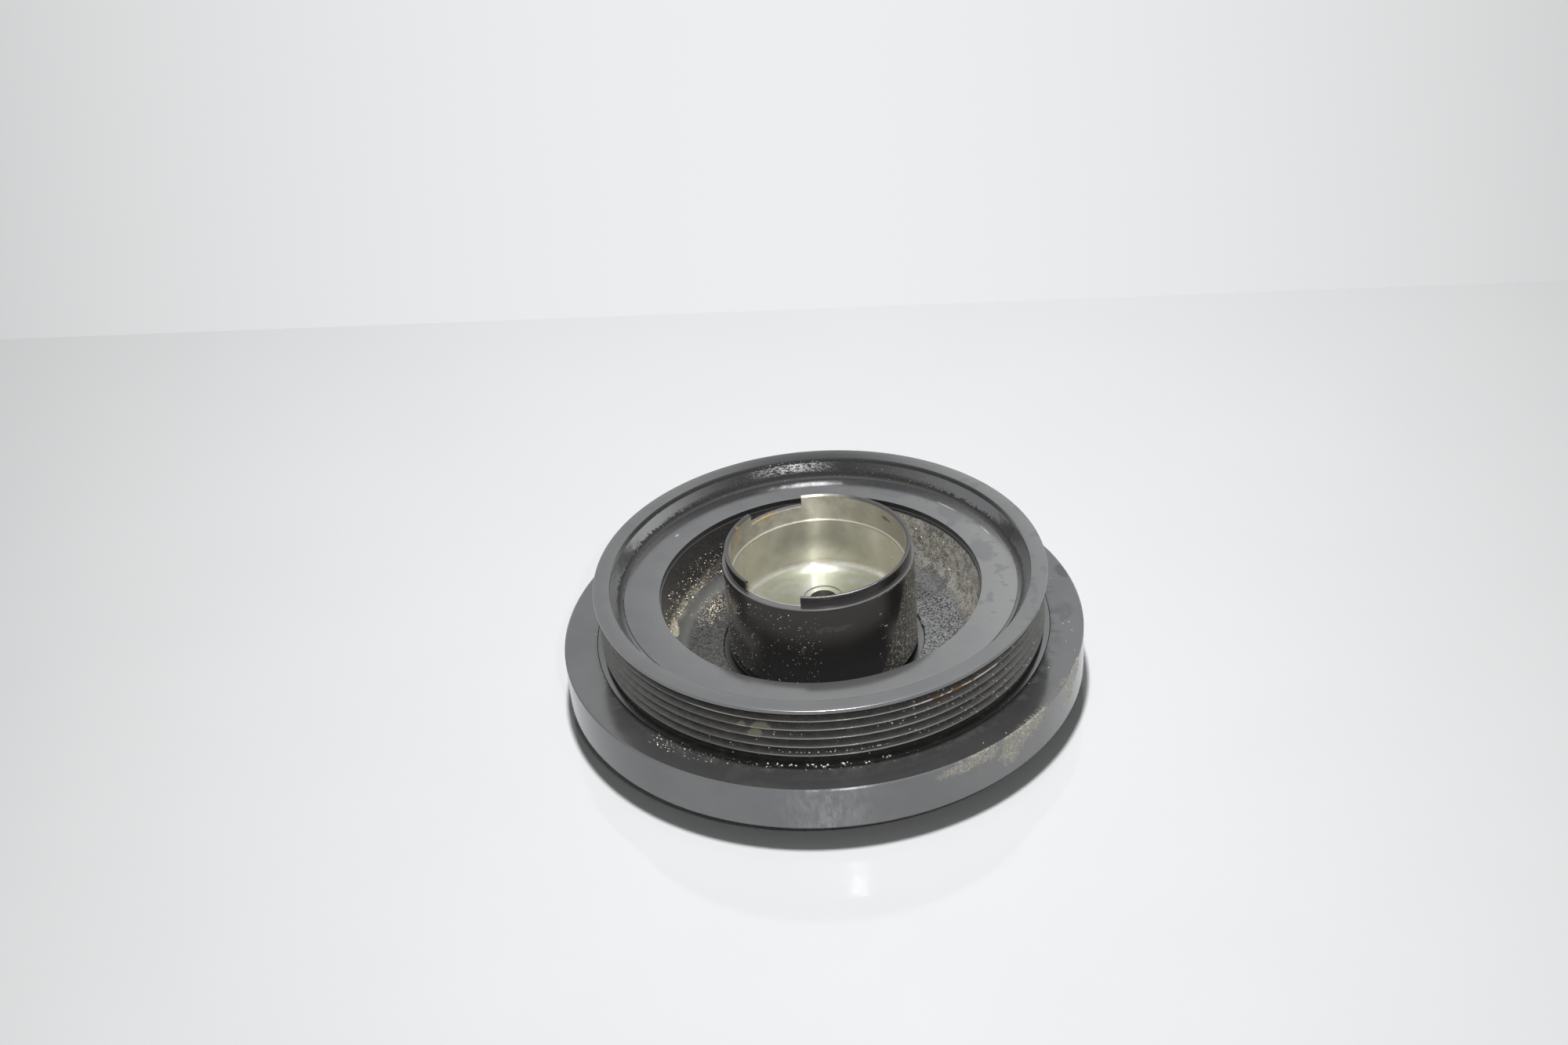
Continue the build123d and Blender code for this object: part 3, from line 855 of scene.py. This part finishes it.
@dataclass
class CastingShell:
    """Web, bowl, annulus, rim and drum, turned from one section."""

    sectors: int = 8
    steps: int = 60
    same_corner: float = 1e-4
    rim_r: float = 79.0
    first_groove_z: float = 42.58
    pitch: float = 3.56
    grooves: int = 6
    crest_r: float = 77.9
    root_r: float = 75.0
    root_half: float = 0.5
    crest_half: float = 0.225
    flange_r: float = 79.6
    flange_bottom_z: float = 20.78
    dents: tuple[Dent, ...] = (
        Dent((74.6, 11.3, RIM_Z), 1.3, 0.2),
        Dent((76.2, 13.4, RIM_Z), 1, 0.15),
        Dent((75.6, 8.8, RIM_Z), 1.1, 0.18),
        Dent((76.8, 10.6, RIM_Z), 1, 0.15),
        Dent((-66.1, -13.6, ANNULUS_Z), 0.9, -0.15),
        Dent((-61.7, -26.8, ANNULUS_Z), 0.9, 0.2),
        Dent((-68, -11.5, ANNULUS_Z), 1, 0.2),
    )
    skins: tuple[Skin, ...] = (
        Skin((35.5, 55.7), (16.3, 37.8), 0.13, 1.4),
        Skin((69.4, 73), (39.5, RIM_Z), 0.05, 1.4),
        Skin((39, 69.5), (7, 29.5), 0.14, 1.8),
    )
    seat_edge: tuple[float, float] = (35.3, 35.6)

    def groove_corners(self) -> list[Corner]:
        """Return the belt grooves' corners, downwards from the rim."""
        corners = [Corner(self.rim_r, 44.54, 0.25)]
        for index in range(self.grooves):
            middle = self.first_groove_z - index * self.pitch
            corners.append(Corner(self.root_r, middle + self.root_half, 0.12))
            corners.append(Corner(self.root_r, middle - self.root_half, 0.12))
            if index < self.grooves - 1:
                crest = middle - self.pitch / 2
                corners.append(Corner(self.crest_r, crest + self.crest_half, 0.14))
                corners.append(Corner(self.crest_r, crest - self.crest_half, 0.14))
        corners.append(Corner(76.93, FLANGE_Z, 0.1))
        return corners

    def section(self) -> list[Corner]:
        """Return the section's corners, from the rim's inner edge outwards and round."""
        return [
            Corner(73.4, RIM_Z, 0.18),
            Corner(self.rim_r, RIM_Z, 0.4),
            *self.groove_corners(),
            Corner(self.flange_r, FLANGE_Z, 0.06),
            Corner(self.flange_r, self.flange_bottom_z, 0.2),
            Corner(75.2, self.flange_bottom_z),
            Corner(75.2, 7.98, 0.3),
            Corner(70.2, 7.98, 0.3, 4),
            Corner(69.05, 30, 2.6),
            Corner(63.25, 30, 2.8, 4),
            Corner(60.9, 7.6, 11, 2.5),
            Corner(38.6, 7.6, 0.4),
            Corner(37.2, 5, 0.4),
            Corner(26.1, 5, 0.2),
            Corner(26.1, 7.5),
            Corner(31.6, 7.5),
            Corner(31.6, 15.4),
            Corner(35.4, 15.4),
            Corner(35.4, 16.5, 0.15, 0.9),
            Corner(53.5, 16.5, 8.1, 0.9),
            Corner(55.76, 38, 0.2),
            Corner(56.26, 38),
            Corner(56.26, ANNULUS_Z, 0.12),
            Corner(68.8, ANNULUS_Z, 0.25),
            Corner(68.9, 39.65),
            Corner(69.9, 39.65, 0.85, 0.8),
        ]

    def lump(self, point: Vector) -> float:
        """Return how far the skin stands out at a point.

        Args:
            point: A point of the turned surface.

        Returns:
            The height, positive outwards.
        """
        for skin in self.skins:
            if skin.holds(point):
                return skin.depth * noise.fractal(point / skin.grain, 1, 2, 3)
        return -sum(
            dent.depth * math.exp(-((point - Vector(dent.place)).length / dent.size * 1.6) ** 2)
            for dent in self.dents
            if (point - Vector(dent.place)).length < 2 * dent.size
        )

    def notch(self, vert: bmesh.types.BMVert) -> Vector:
        """Return how far the cast edge round the turned seat is broken away.

        Args:
            vert: A vertex of the shell.

        Returns:
            The move along the radius.
        """
        outward = Vector((vert.co.x, vert.co.y, 0))
        inner, outer = self.seat_edge
        if not (inner < outward.length < outer and vert.co.z > 16):
            return Vector()
        ragged = noise.noise(vert.co * 1.1) + 0.5 * noise.noise(vert.co * 2.6)
        return outward.normalized() * (0.35 + 0.5 * ragged)

    def build(self) -> bpy.types.Object:
        """Round the section's corners, turn it and give its cast stretches their skin.

        Returns:
            The shell.
        """
        mesh = bmesh.new()
        corners = self.section()
        points = [mesh.verts.new(corner.place()) for corner in corners]
        for point, after in zip(points, points[1:] + points[:1]):
            mesh.edges.new((point, after))
        for corner in corners:
            if corner.reach:
                place = corner.place()
                rounded = [v for v in mesh.verts if (v.co - place).length < self.same_corner]
                bmesh.ops.bevel(
                    mesh, geom=rounded, offset=corner.reach, offset_type="OFFSET",
                    segments=corner.segments(), profile=0.5, affect="VERTICES", material=-1,
                )
        for corner, after in zip(corners, corners[1:] + corners[:1]):
            if corner.spacing:
                stretch = [e for e in mesh.edges if on_stretch(e, corner.place(), after.place())]
                longest = max(stretch, key=lambda edge: edge.calc_length())
                cuts = int(longest.calc_length() / corner.spacing)
                bmesh.ops.subdivide_edges(mesh, edges=[longest], cuts=cuts)
        turn_section(mesh, self.sectors, self.steps)
        moves = [(vert, vert.normal * self.lump(vert.co) + self.notch(vert)) for vert in mesh.verts]
        for vert, move in moves:
            vert.co += move
        bmesh.ops.scale(mesh, vec=(MM, MM, MM), verts=mesh.verts)
        return finished(mesh, "casting_shell", 35)


def turn_section(
    mesh: bmesh.types.BMesh, sectors: int, steps: int, same_place: float = 0.0005
) -> None:
    """Turn a section round the axis: one sector is spun, and its turned copies close the circle.

    Args:
        mesh: The section, which becomes the solid's skin.
        sectors: How many sectors there are, a power of two.
        steps: The steps of a sector.
        same_place: The distance below which two vertices are merged.
    """
    bmesh.ops.spin(
        mesh, geom=mesh.verts[:] + mesh.edges[:], axis=(0, 0, 1), cent=(0, 0, 0),
        angle=FULL_TURN / sectors, steps=steps, use_merge=False,
    )
    done = 1
    while done < sectors:
        copy = bmesh.ops.duplicate(mesh, geom=mesh.verts[:] + mesh.edges[:] + mesh.faces[:])
        bmesh.ops.rotate(
            mesh, cent=(0, 0, 0), matrix=Matrix.Rotation(FULL_TURN * done / sectors, 3, "Z"),
            verts=[item for item in copy["geom"] if isinstance(item, bmesh.types.BMVert)],
        )
        done *= 2
    bmesh.ops.remove_doubles(mesh, verts=mesh.verts, dist=same_place)
    bmesh.ops.recalc_face_normals(mesh, faces=mesh.faces)


@dataclass(frozen=True)
class Strip:
    """Stretch of the part's surface that grit lies on.

    Attributes:
        path: Its section, as points of radius and height.
        start: Its first angle in degrees from +X.
        end: Its last angle.
        count: How many grains it has.
        small: The smallest grain's radius.
        large: The largest grain's radius.
        crowd: Above 1, grains crowd towards the path's first point.
    """

    path: tuple[tuple[float, float], ...]
    start: float
    end: float
    count: int
    small: float = 0.08
    large: float = 0.2
    crowd: float = 1.0

    def at(self, share: float, angle: float) -> Vector:
        """Return a point of the strip.

        Args:
            share: How far along the path it is, from 0 to 1.
            angle: Its angle in degrees.

        Returns:
            The point.
        """
        lengths = [math.dist(a, b) for a, b in zip(self.path, self.path[1:])]
        left = share * sum(lengths)
        for (start, end), length in zip(zip(self.path, self.path[1:]), lengths):
            if left <= length:
                break
            left -= length
        part = min(left / length, 1)
        radius = start[0] + (end[0] - start[0]) * part
        height = start[1] + (end[1] - start[1]) * part
        turn = math.radians(angle)
        return Vector((radius * math.cos(turn), radius * math.sin(turn), height))


@dataclass
class Grit:
    """Loose grains on the cup, in the bowl and on the flange."""

    seed: int = 7
    widths: tuple[float, float] = (0.6, 1.0)
    thicknesses: tuple[float, float] = (0.5, 0.9)
    strips: tuple[Strip, ...] = (
        Strip(((CUP_R, 19), (CUP_R, 51)), -172, -92, 300, 0.12, 0.3),
        Strip(((CUP_R, 19), (CUP_R, 45)), -56, 0, 80, 0.15, 0.38),
        Strip(((52.8, 20.5), (54.2, 23.5), (54.7, 28), (55, 31.5)), 118, 180, 420, 0.14, 0.4, 1.9),
        Strip(((42.5, 16.5), (47, 16.6)), 141, 160, 90, 0.14, 0.36),
        Strip(((51.5, 19), (54.3, 24), (55.6, 36)), 2, 70, 330, 0.1, 0.28),
        Strip(((79.9, 23.7), (78.2, 23.7)), -108, -76, 30, 0.4, 0.6),
        Strip(((82.2, FLANGE_Z), (79, FLANGE_Z)), -132, -66, 60, 0.12, 0.36),
        Strip(((85.5, FLANGE_Z), (80, FLANGE_Z)), -136, -118, 50, 0.16, 0.38),
        Strip(((77.9, 28.34), (77.9, 28.3)), -102, -76, 34, 0.15, 0.36),
        Strip(((77.5, 25), (76.5, 36)), -128, -30, 90, 0.12, 0.36),
        Strip(((69.2, ANNULUS_Z), (73, 45.6)), 45, 150, 90, 0.08, 0.16),
        Strip(((70.9, 41.5), (73, 45.4)), 84, 108, 90, 0.12, 0.26),
        Strip(((84, FLANGE_Z), (89.5, FLANGE_Z)), -25, 20, 12, 0.14, 0.28),
    )

    def build(self) -> bpy.types.Object:
        """Scatter the grains.

        Returns:
            The grit, as one piece.
        """
        chance = random.Random(self.seed)
        mesh = bmesh.new()
        for strip in self.strips:
            for _ in range(strip.count):
                point = strip.at(
                    chance.random() ** strip.crowd, chance.uniform(strip.start, strip.end)
                )
                size = strip.small + (strip.large - strip.small) * chance.random() ** 2
                width, thickness = chance.uniform(*self.widths), chance.uniform(*self.thicknesses)
                shape = Matrix.Diagonal((1, width, thickness, 1))
                turn = Euler([chance.uniform(0, FULL_TURN) for _ in range(3)]).to_matrix().to_4x4()
                place = Matrix.Translation(point) @ turn @ shape
                bmesh.ops.create_icosphere(mesh, subdivisions=1, radius=size, matrix=place)
        bmesh.ops.scale(mesh, vec=(MM, MM, MM), verts=mesh.verts)
        return finished(mesh, "dust_grit", 20)


def dress_node(name: str, material: bpy.types.Material) -> None:
    """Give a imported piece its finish.

    Args:
        name: The piece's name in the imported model.
        material: The finish.
    """
    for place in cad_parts[name].material_slots:
        place.material = material
    log.info("%s: dressed", name)


def add_piece(piece: bpy.types.Object, material: bpy.types.Material) -> None:
    """Dress a new piece and let it ride on the part.

    Args:
        piece: The new piece.
        material: The finish.
    """
    piece.data.materials.append(material)
    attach(piece, BODY)
    log.info("%s: %d faces", piece.name, len(piece.data.polygons))


@dataclass(frozen=True)
class Studio:
    """Table, lamps and the room's light round the part.

    Attributes:
        table_half: Half the table's width in metres.
        wall_line: Where the wall starts: y at x = 0, and the slope.
        lens_depth: The distance from the lens at y = 0, and its growth with y.
        table_tone: The table's level in the middle, and its least.
        wall_tone: The wall's level in the middle, its falloff and its least.
        world_fill: The room's level as a light.
        mirrored: Its level in mirrors, at the left and at the right.
    """

    table_half: float = 3.0
    wall_line: tuple[float, float] = (277.6, -0.0725)
    lens_depth: tuple[float, float] = (820.0, 0.834)
    table_tone: tuple[float, float] = (0.955, 0.65)
    wall_tone: tuple[float, float, float] = (0.855, 1.7, 0.55)
    world_fill: float = 0.09
    mirrored: tuple[float, float] = (0.84, 0.98)

    def table(self) -> None:
        """Lay the pale table, with the tone of the wall beyond the line where they meet."""
        mesh = bmesh.new()
        bmesh.ops.create_grid(mesh, x_segments=1, y_segments=1, size=self.table_half)
        piece = finished(mesh, "table", 30)
        g = Graph("pale_table")
        offset, slope = self.wall_line
        line = g.math("ADD", g.both(g.x, slope), offset)
        beyond = g.fade(g.math("SUBTRACT", g.y, line), -0.4, 0.4)
        middle, growth = self.lens_depth
        side = g.math("DIVIDE", g.x, g.math("ADD", g.both(g.y, growth), middle))
        # Painted falloff of the light: the table is darker towards the sides.
        falloff = g.both(side, side, g.fade(g.y, -250, 100, 0.7, 1.3))
        bright, least = self.table_tone
        level = g.either(g.math("SUBTRACT", bright, falloff), least)
        mottle = g.fade(g.noise(90, 5, 0.6), 0.3, 0.7, 0.985, 1)
        tint = g.mix(g.fade(level, 0.7, 0.95), (0.97, 1, 1), (0.99, 1, 1.01))
        g.start(g.vector("SCALE", tint, g.both(level, mottle)), 0, 0.07)
        # The wall beyond the line is a painted glow, with the same painted falloff towards the
        # sides.
        bright, drop, least = self.wall_tone
        tone = g.either(g.math("SUBTRACT", bright, g.both(side, side, drop)), least)
        glow = g.node("Emission", g.vector("SCALE", tint, tone))
        piece.data.materials.append(g.done())
        blend = g.node("MixShader", beyond, g.shader.outputs[0], glow.outputs[0])
        g.put(g.tree.nodes["Material Output"].inputs["Surface"], blend.outputs[0])

    def world(self) -> None:
        """Give the room a weak fill, and in mirrors the look of walls, brighter to the right."""
        world = bpy.data.worlds.new("room")
        world.use_nodes = True
        bpy.context.scene.world = world
        g = Tree(world.node_tree)
        rays = g.node("LightPath").outputs
        seen = g.either(rays["Is Camera Ray"], rays["Is Glossy Ray"])
        across = g.split(g.node("TexCoord").outputs["Generated"])[0]
        walls = g.node("MapRange", across, -0.15, 0.2, *self.mirrored).outputs[0]
        level = g.node("MapRange", seen, 0, 1, self.world_fill, walls).outputs[0]
        back = g.tree.nodes["Background"]
        g.put(back.inputs["Color"], (0.985, 0.995, 1))
        g.put(back.inputs["Strength"], level)

    def lamp(self, name: str, place: Place, aim: Place, size: float, power: float) -> None:
        """Hang a round lamp.

        Args:
            name: The lamp's name.
            place: Where it hangs, in metres.
            aim: The point that it faces.
            size: Its diameter in metres.
            power: Its power in watts.
        """
        light = bpy.data.lights.new(name, "AREA")
        light.shape = "DISK"
        light.size = size
        light.energy = power
        lamp = bpy.data.objects.new(name, light)
        lamp.location = place
        lamp.rotation_euler = (Vector(place) - Vector(aim)).to_track_quat("Z", "Y").to_euler()
        bpy.context.scene.collection.objects.link(lamp)

    def build(self) -> None:
        """Lay the table and light the room."""
        self.table()
        self.world()
        self.lamp("overhead", (0, 0.02, 1.2), (0, 0, 0), 0.1, 11.6)
        self.lamp("by_the_lens", (0.085, -0.645, 0.57), (0, 0, 0.02), 0.018, 0.5)


@dataclass(frozen=True)
class Lens:
    """The camera at the photograph's angle."""

    place: Place = (0.0, -0.6539, 0.4988)
    turn: Place = (56.466, 3.813, -1.5736)
    focal: float = 52.506
    sensor: float = 36.0
    nearest: float = 0.01
    farthest: float = 20.0

    def build(self) -> None:
        """Create the camera and make it the scene's own."""
        data = bpy.data.cameras.new("lens")
        data.lens = self.focal
        data.sensor_width = self.sensor
        data.sensor_fit = "HORIZONTAL"
        data.clip_start = self.nearest
        data.clip_end = self.farthest
        camera = bpy.data.objects.new("lens", data)
        camera.location = self.place
        camera.rotation_euler = Euler([math.radians(angle) for angle in self.turn])
        bpy.context.scene.collection.objects.link(camera)
        bpy.context.scene.camera = camera


def main() -> None:
    """Build the camera, the studio and each piece in order."""
    bpy.context.scene.view_settings.view_transform = "Standard"
    Lens().build()
    Studio().build()
    shell = CastingShell().build()
    add_piece(shell, CastingCoat().material())
    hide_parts("pulley_casting")
    dress_node("hub_sleeve", SleeveFinish().material())
    dress_node("inertia_ring", RingCoat().material())
    dress_node("rubber_ring", RubberFinish().material())
    add_piece(Grit().build(), GrainFinish().material())


if __name__ == "__main__":
    main()
